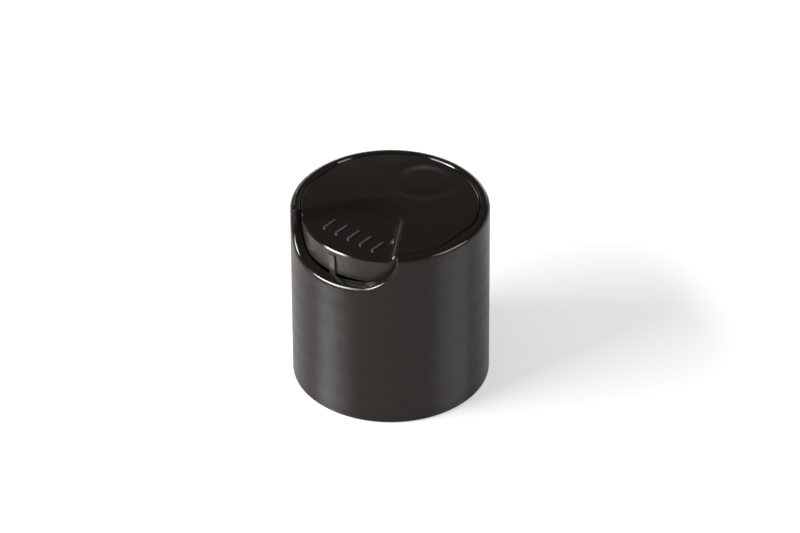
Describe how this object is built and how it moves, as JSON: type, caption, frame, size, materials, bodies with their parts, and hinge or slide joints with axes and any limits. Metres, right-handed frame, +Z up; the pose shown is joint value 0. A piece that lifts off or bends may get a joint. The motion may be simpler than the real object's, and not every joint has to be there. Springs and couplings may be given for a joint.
{
  "type": "disc top cap",
  "caption": "Screw-on bottle cap with a smooth round skirt and a flush rocker disc: pressing the thumb recess tips the other side up and opens the nozzle.",
  "frame": {"origin": "on the cap's axis at the foot of the skirt", "axes": "+Z up from the neck side to the disc, -Y the thumb side, +Y the nozzle side, X along the trunnions"},
  "size_m": [0.0272, 0.0272, 0.0269],
  "materials": {
    "cap_plastic": "black polypropylene, satin on the outer wall and glossy on the rim",
    "disc_plastic": "black polypropylene, polished"
  },
  "bodies": {
    "cap": {"cap_body": "cap_plastic"},
    "disc": {"rocker_disc": "disc_plastic"}
  },
  "joints": [
    {"name": "disc_tilt", "type": "hinge", "parent": "cap", "child": "disc", "pos_m": [0, 0, 0.0252], "axis": [1, 0, 0], "range_deg": [0, 26]}
  ]
}
